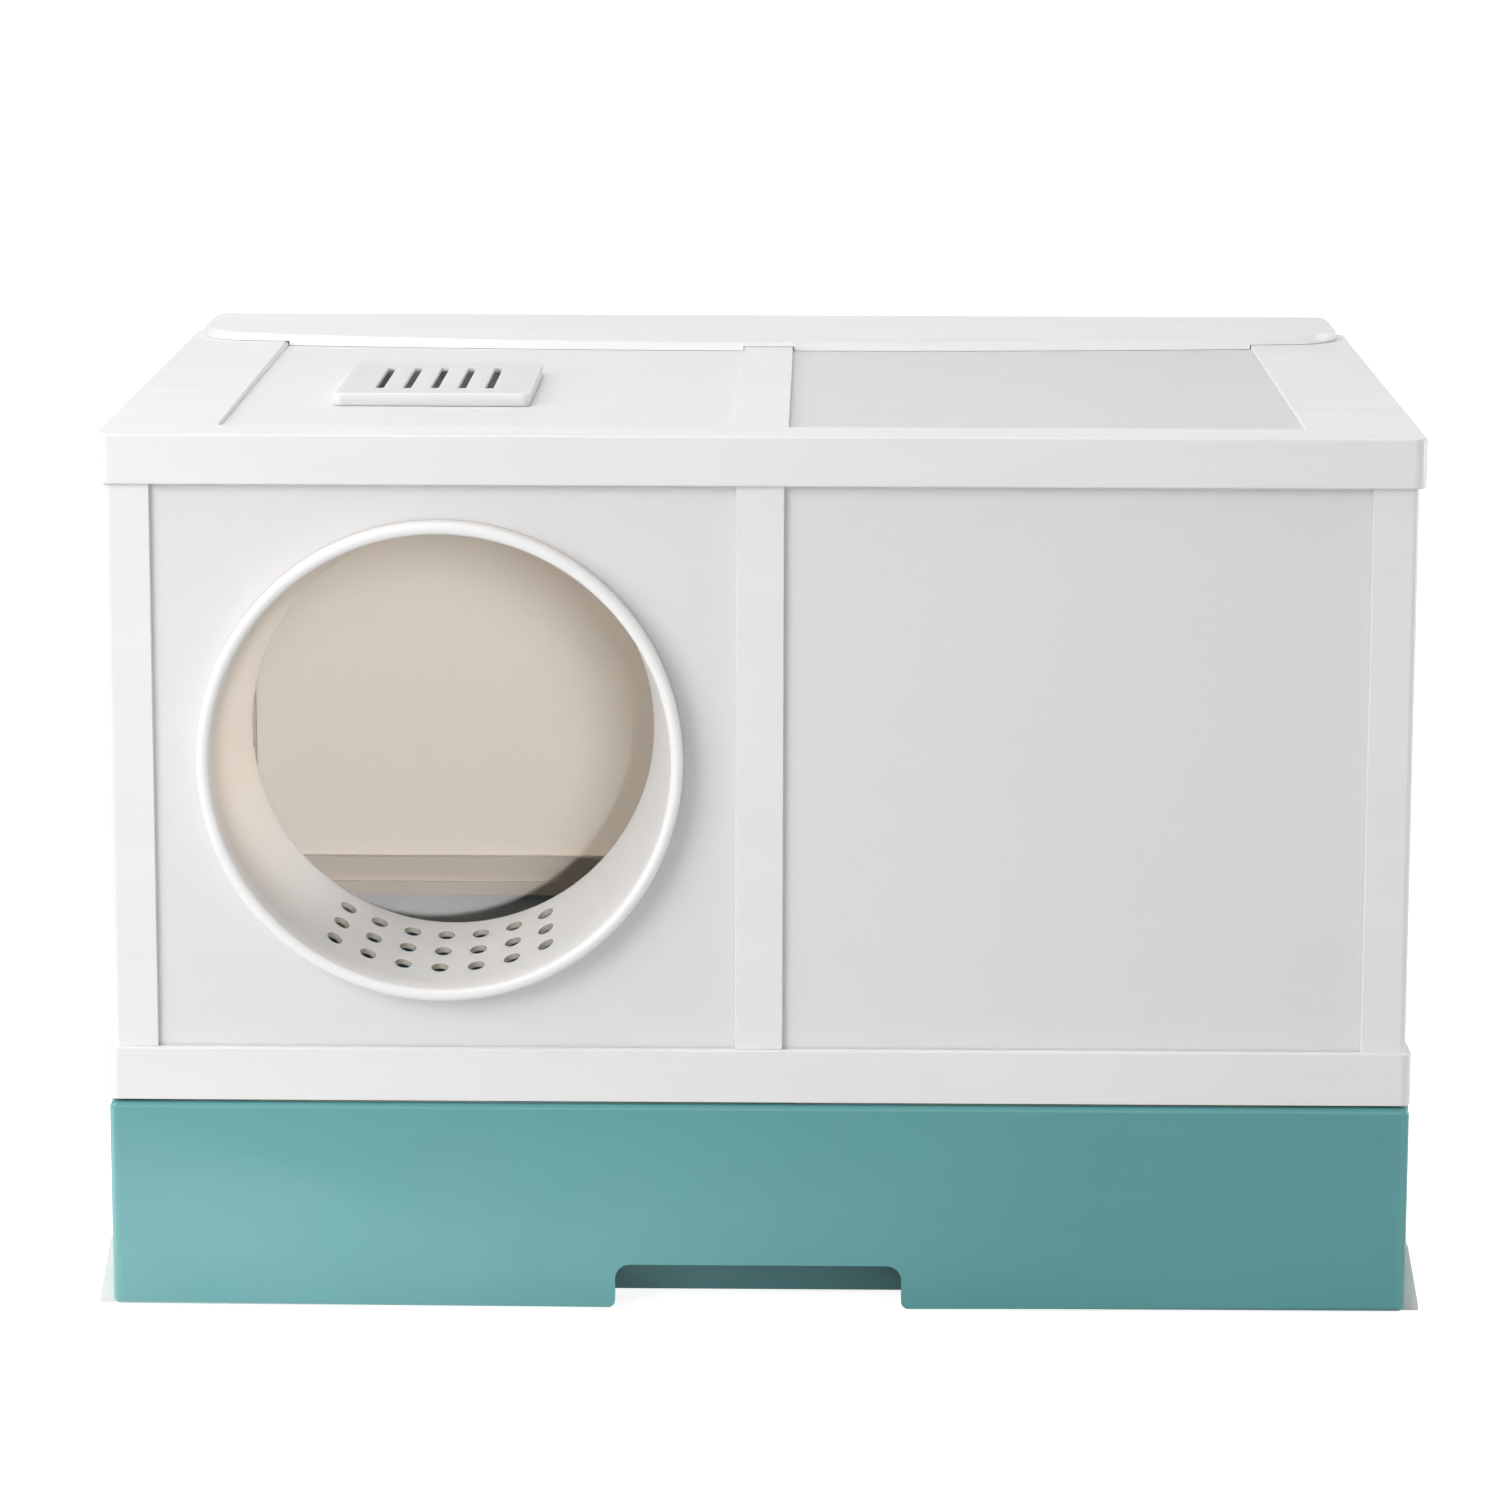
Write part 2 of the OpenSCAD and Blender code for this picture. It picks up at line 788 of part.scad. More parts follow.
module hinge_pins() {
    color(steel)
        at_hinges()
            cylinder(r = pin_r, h = hinge_w, center = true);
}

// The lid: a skirted plate with two framed openings
module lid_shell() {
    color(white) {
        difference() {
            translate([0, 0, skirt_z])
                linear_extrude(skirt_h)
                    rounded_rect(lid_w, lid_d, lid_corner_r);
            translate([0, 0, skirt_z - cut])
                linear_extrude(skirt_h - plate_t + cut)
                    rounded_rect(lid_w - 2 * skirt_t, lid_d - 2 * skirt_t, lid_corner_r - skirt_t);
            for (side = [-1, 1])
                lid_opening(side, 0, box_h - plate_t - cut, box_h + cut);
            for (x = cap_screw_x)
                translate([x, cap_screw_y, box_h - plate_t - cut])
                    cylinder(r = screw_r + screw_gap, h = plate_t + 2 * cut);
        }
        for (side = [-1, 1])
            lid_seat(side);
        lid_knuckles();
    }
}

// One of the lid's openings as a block, grown on all sides, between two heights
module lid_opening(side, grow, low, high) {
    near = side * (open_x[0] - grow);
    far = side * (open_x[1] + grow);
    block(
        [min(near, far), open_y[0] - grow, low],
        [max(near, far), open_y[1] + grow, high]
    );
}

// The grooved frame under an opening that holds its sheet
module lid_seat(side) {
    low = sheet_z - fit_gap - lid_lip_t;
    difference() {
        lid_opening(side, seat_w, low, box_h - plate_t / 2);
        lid_opening(side, lid_groove, sheet_z - fit_gap, box_h - plate_t);
        lid_opening(side, -lid_lip, low - cut, sheet_z);
        lid_opening(side, 0, sheet_z, box_h + cut);
    }
}

// The white sheet in the left opening, cut out for the filter tray
module lid_panel_left() {
    color(white)
        difference() {
            lid_opening(-1, lid_groove - fit_gap, sheet_z, sheet_top);
            translate([vent_x, vent_y, sheet_z - cut])
                linear_extrude(panel_t + 2 * cut)
                    square([filter_tray_w + 2 * filter_gap, filter_tray_d + 2 * filter_gap], center = true);
        }
}

// The frosted sheet in the right opening
module lid_window_right() {
    color(frosted)
        lid_opening(1, lid_groove - fit_gap, sheet_z, sheet_top);
}

// Plan of the rear cap, less an inset on every side, with corners that run into its bowed front edge
module cap_plan(inset) {
    half = cap_x - inset;
    corner = cap_corner_r - inset;
    rear = cap_rear - inset;
    bow_r = cap_bow_r - inset;
    bow_y = cap_front + cap_bow_r;
    front = bow_y - sqrt(pow(bow_r, 2) - pow(half - corner, 2)) - corner_dip;
    intersection() {
        translate([0, bow_y])
            circle(r = bow_r, $fn = bow_sides);
        translate([-lid_w / 2, 0])
            square([lid_w, rear]);
        union() {
            translate([-half, front + corner])
                square([2 * half, rear - front - corner]);
            translate([-half + corner, cap_front])
                square([2 * (half - corner), rear - cap_front]);
            for (side = [-1, 1])
                translate([side * (half - corner), front + corner])
                    circle(corner);
        }
    }
}

// A wedge across the lid that rises from the cap's front height to its rear one, less a thickness
module cap_wedge(thinner) {
    rotate([90, 0, 90])
        linear_extrude(lid_w, center = true)
            polygon([
                [cap_front, cap_z - (thinner > 0 ? cut : 0)],
                [cap_front, cap_z + cap_front_h - thinner],
                [cap_rear, cap_z + cap_rear_h - thinner],
                [cap_rear, cap_z - (thinner > 0 ? cut : 0)]
            ]);
}

// The cap as seen from behind, made large enough to cut its two ends round
module cap_ends() {
    top = cap_z + cap_rear_h;
    rotate([90, 0, 0])
        linear_extrude(2 * lid_d, center = true) {
            translate([-cap_x, cap_z - cut])
                square([2 * cap_x, top - cap_end_r - cap_z + cut]);
            translate([-cap_x + cap_end_r, cap_z - cut])
                square([2 * (cap_x - cap_end_r), top - cap_z + cut]);
            for (side = [-1, 1])
                translate([side * (cap_x - cap_end_r), top - cap_end_r])
                    circle(cap_end_r);
        }
}

// The lip that the cap's front wall drops into one of the lid's openings, down to the sheet
module cap_lip(side) {
    intersection() {
        lid_opening(side, -lip_gap, sheet_top + seat_gap, cap_z + cut);
        translate([0, 0, sheet_top])
            linear_extrude(cap_z + cut - sheet_top)
                difference() {
                    cap_plan(0);
                    cap_plan(cap_wall);
                }
    }
}

// The raised cap along the lid's rear edge: a thin shell with a lip and a boss for each screw
module lid_rear_cap() {
    color(white) {
        for (side = [-1, 1])
            cap_lip(side);
        difference() {
            intersection() {
                cap_wedge(0);
                cap_ends();
                translate([0, 0, cap_z - cut])
                    linear_extrude(cap_rear_h + 2 * cut)
                        cap_plan(0);
            }
            intersection() {
                cap_wedge(cap_t);
                translate([0, 0, cap_z - cut])
                    linear_extrude(cap_rear_h)
                        difference() {
                            cap_plan(cap_wall);
                            for (x = cap_screw_x)
                                translate([x, cap_screw_y])
                                    circle(screw_head_r);
                        }
            }
            for (x = cap_screw_x)
                translate([x, cap_screw_y, cap_z - cut])
                    cylinder(r = screw_r + screw_gap / 2, h = cap_front_h + cut);
        }
    }
}

// A pan-head screw along z, its head's underside at z = 0 and its shank above it
module screw(shank) {
    translate([0, 0, -screw_head_h])
        cylinder(r = screw_head_r, h = screw_head_h);
    translate([0, 0, -cut])
        cylinder(r = screw_r, h = shank + cut);
}

module cap_screws() {
    color(steel)
        for (x = cap_screw_x)
            translate([x, cap_screw_y, box_h - plate_t - seat_gap / 2])
                screw(plate_t + cap_front_h);
}

// The tray that hangs the filter pad under the vent, with a slotted floor
module filter_tray() {
    flange_w = vent_w - 2 * (vent_t + flange_gap);
    flange_d = vent_d - 2 * (vent_t + flange_gap);
    color(white)
        translate([vent_x, vent_y, 0])
            difference() {
                union() {
                    translate([0, 0, filter_tray_z])
                        linear_extrude(filter_tray_h)
                            square([filter_tray_w, filter_tray_d], center = true);
                    translate([0, 0, sheet_top + seat_gap])
                        linear_extrude(filter_flange_t)
                            square([flange_w, flange_d], center = true);
                }
                translate([0, 0, filter_tray_z + filter_tray_t])
                    linear_extrude(filter_tray_h + cut)
                        square([filter_w + 2 * filter_gap, filter_d + 2 * filter_gap], center = true);
                vent_slot_row(filter_tray_z - cut, filter_tray_t + 2 * cut);
            }
}

// A row of air slots cut upwards from a height
module vent_slot_row(low, height) {
    straight = vent_slot_len - vent_slot_w;
    for (i = [0 : vent_slots - 1])
        translate([(i - (vent_slots - 1) / 2) * vent_slot_pitch, 0, low])
            linear_extrude(height) {
                square([vent_slot_w, straight], center = true);
                for (end = [-1, 1])
                    translate([0, end * straight / 2])
                        circle(d = vent_slot_w);
            }
}

module filter_pad() {
    color(fleece)
        translate([vent_x, vent_y, filter_tray_z + filter_tray_t + seat_gap])
            linear_extrude(filter_h)
                square([filter_w, filter_d], center = true);
}

// The slotted cover over the filter, with a tab at each end that snaps into the tray
module vent_cover() {
    corner_r = 4;
    tab_w = 12;
    tab_t = 1.2;
    tab_z = filter_tray_z + filter_tray_t + seat_gap + filter_h + tab_gap;
    top = box_h + vent_h;
    color(white)
        translate([vent_x, vent_y, 0]) {
            difference() {
                translate([0, 0, vent_foot])
                    linear_extrude(top - vent_foot)
                        rounded_rect(vent_w, vent_d, corner_r);
                translate([0, 0, vent_foot - cut])
                    linear_extrude(top - vent_foot - vent_t + cut)
                        rounded_rect(vent_w - 2 * vent_t, vent_d - 2 * vent_t, corner_r - vent_t);
                vent_slot_row(top - vent_t - cut, vent_t + 2 * cut);
            }
            for (end = [-1, 1])
                translate([0, end * (filter_d / 2 + filter_gap - slide_gap - tab_t / 2), tab_z])
                    linear_extrude(top - vent_t / 2 - tab_z)
                        square([tab_w, tab_t], center = true);
        }
}

// A block with sloping walls, from its top outline down to its bottom one
module tub(wall, low, high) {
    side_top = tub_x - wall;
    side_low = tub_x - side_draft - wall;
    rotate([90, 0, 0])
        linear_extrude(2 * lid_d, center = true)
            polygon([[-side_low, low], [side_low, low], [side_top, high], [-side_top, high]]);
}

module tub_ends(wall, low, high) {
    rotate([90, 0, 90])
        linear_extrude(2 * lid_w, center = true)
            polygon([
                [tray_front + front_draft + wall, low],
                [tray_rear - rear_draft - wall, low],
                [tray_rear - wall, high],
                [tray_front + wall, high]
            ]);
}

// The litter tray: a sloping tub with a rim that slides on the runners
module drawer_tray() {
    color(dark_teal)
        difference() {
            union() {
                intersection() {
                    tub(0, tray_z, rim_top);
                    tub_ends(0, tray_z, rim_top);
                }
                block([-rim_x, fascia_back + seat_gap, rim_z], [rim_x, tray_rim_rear, rim_top]);
            }
            intersection() {
                tub(tray_t, tray_z + tray_t, rim_top + cut);
                tub_ends(tray_t, tray_z + tray_t, rim_top + cut);
            }
            for (x = drawer_screw_x)
                translate([x, drawer_screw_y, rim_z - cut])
                    cylinder(r = screw_r + screw_gap / 2, h = tray_t + 2 * cut);
        }
}

// Outline of the drawer's front, x and z: round corners and the hand slot in its lower edge
module fascia_outline() {
    difference() {
        translate([0, drawer_z + fascia_h / 2])
            rounded_rect(drawer_w, fascia_h, fascia_corner_r);
        hand_slot(0);
    }
}

// The hand slot, grown by a wall all round
module hand_slot(grow) {
    half = slot_w / 2 + grow;
    top = slot_top + grow;
    r = slot_r + grow;
    translate([-half, drawer_z - cut])
        square([2 * half, top - r - drawer_z + cut]);
    translate([-half + r, drawer_z])
        square([2 * (half - r), top - drawer_z]);
    for (side = [-1, 1]) {
        translate([side * (half - r), top - r])
            circle(r);
        difference() {
            translate([side * (half + slot_flare_r / 2), drawer_z + slot_flare_r / 2 - cut / 2])
                square([slot_flare_r, slot_flare_r + cut], center = true);
            translate([side * (half + slot_flare_r), drawer_z + slot_flare_r])
                circle(slot_flare_r);
        }
    }
}

// The strip along the outline's edges that turns back, x and z
module fascia_edges() {
    translate([0, drawer_z + fascia_h / 2])
        difference() {
            square([drawer_w, fascia_h], center = true);
            square([drawer_w - 2 * return_t, fascia_h - 2 * return_t], center = true);
        }
    hand_slot(return_t);
}

// The drawer's front: a plate with turned-back edges and a flange that lies on the tray's rim
module drawer_front() {
    color(teal)
        difference() {
            union() {
                translate([0, fascia_back, 0])
                    rotate([90, 0, 0])
                        linear_extrude(fascia_t)
                            fascia_outline();
                translate([0, fascia_back + return_len, 0])
                    rotate([90, 0, 0])
                        linear_extrude(return_len + cut)
                            intersection() {
                                fascia_outline();
                                fascia_edges();
                            }
                block([-tub_x, fascia_back - cut, flange_z], [tub_x, tray_front - slide_gap, flange_top]);
            }
            for (x = drawer_screw_x)
                translate([x, drawer_screw_y, rim_top])
                    cylinder(r = screw_r + screw_gap, h = return_t + cut);
        }
}

// The screws that hold the drawer's front down on the tray's rim
module drawer_screws() {
    color(steel)
        for (x = drawer_screw_x)
            translate([x, drawer_screw_y, flange_top + seat_gap / 2])
                rotate([180, 0, 0])
                    screw(return_t + tray_t + screw_tail);
}

base_frame();
foot_front_left();
foot_front_right();
foot_rear_left();
foot_rear_right();
front_frame();
front_panel_left();
front_panel_right();
left_frame();
left_panel();
right_frame();
right_panel();
rear_frame();
rear_panel_left();
rear_panel_right();
panel_pegs();
entry_tunnel();
entry_lock_ring();
hinge_pins();
lid_shell();
lid_panel_left();
lid_window_right();
lid_rear_cap();
cap_screws();
filter_tray();
filter_pad();
vent_cover();
drawer_tray();
drawer_front();
drawer_screws();
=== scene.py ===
"""Drawer litter box: finishes, softened mouldings, filter pad and a plain studio."""

import json
import math

import bmesh
import bpy
from mathutils import Euler, Matrix, Vector

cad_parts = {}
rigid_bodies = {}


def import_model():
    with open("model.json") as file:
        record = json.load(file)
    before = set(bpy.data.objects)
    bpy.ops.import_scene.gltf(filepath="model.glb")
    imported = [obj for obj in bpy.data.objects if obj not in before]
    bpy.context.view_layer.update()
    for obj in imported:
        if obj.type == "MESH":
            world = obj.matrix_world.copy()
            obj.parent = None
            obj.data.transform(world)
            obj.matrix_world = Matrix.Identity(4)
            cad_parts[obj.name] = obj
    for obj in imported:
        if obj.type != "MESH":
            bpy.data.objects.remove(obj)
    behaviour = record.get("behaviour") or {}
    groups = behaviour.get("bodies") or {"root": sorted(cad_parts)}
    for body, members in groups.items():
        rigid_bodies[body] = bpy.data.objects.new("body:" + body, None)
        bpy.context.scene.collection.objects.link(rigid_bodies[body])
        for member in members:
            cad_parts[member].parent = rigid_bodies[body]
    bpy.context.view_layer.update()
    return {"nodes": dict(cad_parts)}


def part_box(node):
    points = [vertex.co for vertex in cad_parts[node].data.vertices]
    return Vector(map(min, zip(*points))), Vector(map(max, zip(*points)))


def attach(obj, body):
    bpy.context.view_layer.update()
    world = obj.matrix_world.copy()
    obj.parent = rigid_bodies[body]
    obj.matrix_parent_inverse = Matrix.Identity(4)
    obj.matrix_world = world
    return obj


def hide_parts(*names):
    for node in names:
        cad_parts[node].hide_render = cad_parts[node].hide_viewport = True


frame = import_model()
packed = frame["nodes"]
MM = 0.001

# Metres: the entry's axis, the planes in the walls and the lid inside which a face looks into
# the cabin, and the height of the painted highlight line on the drawer front
ENTRY_X, ENTRY_Z = -0.14045, 0.24945
CABIN_HALF_WIDTH, CABIN_HALF_DEPTH, CABIN_TOP = 0.2835, 0.1985, 0.3909
HIGHLIGHT_LINE_Z = 0.0927

# Base colours that several pieces share
WHITE_LIGHT, WHITE_DARK = (0.885, 0.882, 0.88), (0.86, 0.858, 0.857)
# A painted warm light: faces that look into the cabin take this colour in place of the warm light
# that falls there
WARM_CABIN_LIGHT = (0.92, 0.82, 0.725)


# ---------------------------------------------------------------- finishes


def new_finish(name, **sockets):
    """A node material whose uniform values sit on the Principled shader's own sockets."""
    finish = bpy.data.materials.new(name)
    finish.use_nodes = True
    shader = finish.node_tree.nodes["Principled BSDF"]
    for socket, value in sockets.items():
        shader.inputs[socket.replace("_", " ")].default_value = value
    return finish, finish.node_tree, shader


def moulding_coordinates(tree, stretch=(1.0, 1.0, 1.0)):
    """Object coordinates, stretched along the way a mark runs."""
    place = tree.nodes.new("ShaderNodeTexCoord")
    mapping = tree.nodes.new("ShaderNodeMapping")
    mapping.inputs["Scale"].default_value = stretch
    tree.links.new(place.outputs["Object"], mapping.inputs["Vector"])
    return mapping.outputs["Vector"]


def noise(tree, per_metre, stretch=(1.0, 1.0, 1.0), detail=4.0, rough=0.5):
    """Noise with so many features to the metre."""
    texture = tree.nodes.new("ShaderNodeTexNoise")
    texture.inputs["Scale"].default_value = per_metre
    texture.inputs["Detail"].default_value = detail
    texture.inputs["Roughness"].default_value = rough
    tree.links.new(moulding_coordinates(tree, stretch), texture.inputs["Vector"])
    return texture.outputs["Fac"]


def spread(tree, value, low, high, to_low, to_high):
    """Moves a value from one range to another, held at its ends."""
    node = tree.nodes.new("ShaderNodeMapRange")
    ends = {"From Min": low, "From Max": high, "To Min": to_low, "To Max": to_high}
    for socket, number in ends.items():
        node.inputs[socket].default_value = number
    tree.links.new(value, node.inputs["Value"])
    return node.outputs["Result"]


def tones(tree, value, low_tone, high_tone, low=0.35, high=0.65):
    """Two tones of one colour, blended by a value."""
    ramp = tree.nodes.new("ShaderNodeValToRGB")
    ramp.color_ramp.elements[0].position = low
    ramp.color_ramp.elements[0].color = (*low_tone, 1.0)
    ramp.color_ramp.elements[1].position = high
    ramp.color_ramp.elements[1].color = (*high_tone, 1.0)
    tree.links.new(value, ramp.inputs["Fac"])
    return ramp.outputs["Color"]


def over(tree, factor, under, top):
    """One colour over another where the factor is high."""
    mix = tree.nodes.new("ShaderNodeMix")
    mix.data_type = "RGBA"
    tree.links.new(factor, mix.inputs["Factor"])
    for socket, colour in ((mix.inputs["A"], under), (mix.inputs["B"], top)):
        if isinstance(colour, tuple):
            socket.default_value = (*colour, 1.0)
        else:
            tree.links.new(colour, socket)
    return mix.outputs["Result"]


def arithmetic(tree, kind, first, second):
    """One sum on two values."""
    node = tree.nodes.new("ShaderNodeMath")
    node.operation = kind
    for socket, value in zip(node.inputs, (first, second)):
        if isinstance(value, (int, float)):
            socket.default_value = value
        else:
            tree.links.new(value, socket)
    return node.outputs["Value"]


def relief(tree, shader, layers):
    """Bump layers, each a height, its distance in millimetres and its strength."""
    normal = None
    for height, distance, strength in layers:
        bump = tree.nodes.new("ShaderNodeBump")
        bump.inputs["Distance"].default_value = distance * MM
        bump.inputs["Strength"].default_value = strength
        tree.links.new(height, bump.inputs["Height"])
        if normal is not None:
            tree.links.new(normal, bump.inputs["Normal"])
        normal = bump.outputs["Normal"]
    tree.links.new(normal, shader.inputs["Normal"])


def uneven_gloss(tree, shader, per_metre, low, high):
    """A roughness that wanders between two values."""
    roughness = spread(tree, noise(tree, per_metre), 0.3, 0.7, low, high)
    tree.links.new(roughness, shader.inputs["Roughness"])


def along(tree, axis):
    """The place of a point along one axis of the object, in metres."""
    place = tree.nodes.new("ShaderNodeTexCoord")
    parts = tree.nodes.new("ShaderNodeSeparateXYZ")
    tree.links.new(place.outputs["Object"], parts.inputs["Vector"])
    return parts.outputs[axis]


def from_middle(tree, axis):
    """How far a point lies from the object's middle along one axis, in metres."""
    return arithmetic(tree, "ABSOLUTE", along(tree, axis), 0.0)


def cabin_side(tree):
    """High on the faces that look into the cabin."""
    across = arithmetic(tree, "LESS_THAN", from_middle(tree, "X"), CABIN_HALF_WIDTH)
    back = arithmetic(tree, "LESS_THAN", from_middle(tree, "Y"), CABIN_HALF_DEPTH)
    below = arithmetic(tree, "LESS_THAN", along(tree, "Z"), CABIN_TOP)
    return arithmetic(tree, "MULTIPLY", arithmetic(tree, "MULTIPLY", across, back), below)


def painted_edge_highlight(tree):
    """A painted highlight: high along a thin line under the drawer front's top edge, and in bands
    at its two ends.
    """
    above_line = arithmetic(tree, "SUBTRACT", along(tree, "Z"), HIGHLIGHT_LINE_Z)
    line = spread(tree, arithmetic(tree, "ABSOLUTE", above_line, 0.0), 0.0002, 0.0007, 0.75, 0.0)
    ends = spread(tree, from_middle(tree, "X"), 0.2845, 0.2885, 0.0, 0.6)
    return arithmetic(tree, "MAXIMUM", line, ends)


def moulded_plastic(
    name,
    light,
    dark,
    flow=(2.0, 9.0, 9.0),
    gloss=(0.34, 0.46),
    scuff=0.35,
    cabin_light_tone=None,
    highlight_tone=None,
    **sockets,
):
    """Satin moulded plastic: flow tones, faint scuffs, an uneven gloss and a fine grain, with a
    painted warm light on its cabin faces and a painted highlight along the drawer front's edges
    where these are given.
    """
    finish, tree, shader = new_finish(name, **sockets)
    clouds = noise(tree, 4.0, stretch=flow, detail=5.0)
    colour = tones(tree, clouds, dark, light)
    streaks = noise(tree, 30.0, stretch=(0.25, 1.0, 6.0), detail=6.0, rough=0.62)
    mark = spread(tree, streaks, 0.60, 0.78, 0.0, scuff)
    worn = tuple(min(1.0, tone * 1.05 + 0.012) for tone in light)
    colour = over(tree, mark, colour, worn)
    # Painted warm light on the faces that look into the cabin
    if cabin_light_tone is not None:
        colour = over(tree, cabin_side(tree), colour, cabin_light_tone)
    # Painted highlight along the drawer front's top edge and at its ends
    if highlight_tone is not None:
        colour = over(tree, painted_edge_highlight(tree), colour, highlight_tone)
    tree.links.new(colour, shader.inputs["Base Color"])
    uneven_gloss(tree, shader, 22.0, *gloss)
    sink = noise(tree, 7.0, detail=2.0)
    grain = noise(tree, 1300.0, detail=2.0)
    relief(tree, shader, ((sink, 0.25, 0.35), (grain, 0.02, 0.25)))
    return finish


def wall_sheet(name, light, dark, depth, warmth):
    """Thin satin polypropylene sheet that lets some light into the cabin, warmed on the way, its
    cabin face painted with a warm light.
    """
    finish, tree, shader = new_finish(
        name,
        Subsurface_Weight=0.6,
        Subsurface_Radius=warmth,
        Subsurface_Scale=depth,
        Specular_IOR_Level=0.4,
    )
    clouds = noise(tree, 3.0, detail=3.0)
    outer = tones(tree, clouds, dark, light)
    tree.links.new(over(tree, cabin_side(tree), outer, WARM_CABIN_LIGHT), shader.inputs["Base Color"])
    uneven_gloss(tree, shader, 18.0, 0.36, 0.5)
    waves = noise(tree, 5.0, stretch=(1.0, 1.0, 0.5), detail=1.0)
    grain = noise(tree, 900.0, detail=2.0)
    relief(tree, shader, ((waves, 0.8, 0.35), (grain, 0.015, 0.2)))
    return finish


def window_sheet():
    """Frosted sheet that scatters the light, so that what lies under it shows only as a shade.
    Its cabin face is painted with a warm light.
    """
    finish, tree, shader = new_finish(
        "window_sheet",
        Subsurface_Weight=0.7,
        Subsurface_Radius=(1.0, 0.96, 0.91),
        Subsurface_Scale=0.012,
        Specular_IOR_Level=0.35,
    )
    clouds = noise(tree, 5.0, detail=3.0)
    outer = tones(tree, clouds, (0.88, 0.88, 0.875), (0.90, 0.90, 0.895))
    tree.links.new(over(tree, cabin_side(tree), outer, WARM_CABIN_LIGHT), shader.inputs["Base Color"])
    uneven_gloss(tree, shader, 60.0, 0.42, 0.58)
    relief(tree, shader, ((noise(tree, 2200.0, detail=3.0), 0.03, 0.35),))
    return finish


def tunnel_plastic():
    """White moulding with a painted warm light that grows with depth up its left side, away from
    its perforated floor.
    """
    finish, tree, shader = new_finish(
        "tunnel_plastic",
        Subsurface_Weight=0.6,
        Subsurface_Radius=(1.0, 0.9, 0.8),
        Subsurface_Scale=0.008,
    )
    clouds = noise(tree, 6.0, detail=4.0)
    colour = tones(tree, clouds, (0.85, 0.848, 0.846), (0.872, 0.869, 0.867))
    # Painted warm light: deeper in the tube and up its upper left side the colour turns warm, in
    # place of light bounced warm inside
    depth = spread(tree, along(tree, "Y"), -0.209, -0.194, 0.0, 1.0)
    off_axis = arithmetic(tree, "SUBTRACT", along(tree, "X"), ENTRY_X)
    over_axis = arithmetic(tree, "SUBTRACT", along(tree, "Z"), ENTRY_Z)
    leftward = arithmetic(tree, "MULTIPLY", off_axis, -0.5)
    upward = arithmetic(tree, "MULTIPLY", over_axis, 0.8)
    shaded = spread(tree, arithmetic(tree, "ADD", leftward, upward), -0.04, 0.03, 0.0, 1.0)
    warm = arithmetic(tree, "MULTIPLY", depth, shaded)
    tree.links.new(over(tree, warm, colour, (0.95, 0.80, 0.68)), shader.inputs["Base Color"])
    uneven_gloss(tree, shader, 22.0, 0.36, 0.48)
    sink = noise(tree, 8.0, detail=2.0)
    grain = noise(tree, 1300.0, detail=2.0)
    relief(tree, shader, ((sink, 0.2, 0.35), (grain, 0.02, 0.25)))
    return finish


def filter_fleece():
    """Needled fleece: pale fibres lying every way, with grey specks of dust in them."""
    finish, tree, shader = new_finish(
        "filter_fleece",
        Sheen_Weight=0.35,
        Sheen_Roughness=0.5,
        Specular_IOR_Level=0.2,
    )
    fibres = noise(tree, 900.0, stretch=(1.0, 0.25, 1.0), detail=6.0, rough=0.7)
    across = noise(tree, 900.0, stretch=(0.25, 1.0, 1.0), detail=6.0, rough=0.7)
    weave = arithmetic(tree, "MULTIPLY", fibres, across)
    colour = tones(tree, weave, (0.80, 0.80, 0.79), (0.94, 0.94, 0.93), 0.18, 0.4)
    specks = spread(tree, noise(tree, 500.0, detail=1.0), 0.68, 0.74, 0.0, 0.6)
    tree.links.new(over(tree, specks, colour, (0.55, 0.55, 0.54)), shader.inputs["Base Color"])
    tree.links.new(spread(tree, weave, 0.1, 0.45, 0.8, 1.0), shader.inputs["Roughness"])
    relief(tree, shader, ((weave, 0.4, 0.8),))
    return finish


def zinc_steel():
    """Zinc-plated steel, brushed round and slightly dulled."""
    finish, tree, shader = new_finish("zinc_steel", Metallic=1.0)
    grain = noise(tree, 1500.0, stretch=(1.0, 1.0, 0.15), detail=3.0)
    colour = tones(tree, grain, (0.50, 0.50, 0.52), (0.64, 0.64, 0.66))
    tree.links.new(colour, shader.inputs["Base Color"])
    uneven_gloss(tree, shader, 300.0, 0.24, 0.42)
    relief(tree, shader, ((grain, 0.01, 0.4),))
    return finish


# The white mouldings' cabin faces are painted with a warm light
white_moulding = moulded_plastic("white_moulding", WHITE_LIGHT, WHITE_DARK, cabin_light_tone=WARM_CABIN_LIGHT)
vent_plastic = moulded_plastic(
    "vent_plastic",
    WHITE_LIGHT,
    WHITE_DARK,
    Subsurface_Weight=0.8,
    Subsurface_Radius=(1.0, 0.97, 0.94),
    Subsurface_Scale=0.008,
)
foot_moulding = moulded_plastic(
    "foot_moulding",
    (0.93, 0.93, 0.935),
    (0.90, 0.90, 0.91),
    gloss=(0.5, 0.62),
)
drawer_moulding = moulded_plastic(
    "drawer_moulding",
    (0.084, 0.324, 0.330),
    (0.074, 0.300, 0.307),
    flow=(1.5, 6.0, 3.0),
    gloss=(0.32, 0.42),
    scuff=0.5,
    Specular_IOR_Level=0.65,
    Coat_Weight=0.25,
    Coat_Roughness=0.2,
    # the colour of the painted highlight line and end bands
    highlight_tone=(0.15, 0.42, 0.42),
)
tray_moulding = moulded_plastic(
    "tray_moulding",
    (0.105, 0.275, 0.285),
    (0.09, 0.245, 0.255),
    gloss=(0.36, 0.46),
    scuff=0.5,
)
peg_plastic = moulded_plastic(
    "peg_plastic",
    (0.36, 0.35, 0.33),
    (0.28, 0.27, 0.26),
    gloss=(0.45, 0.6),
)
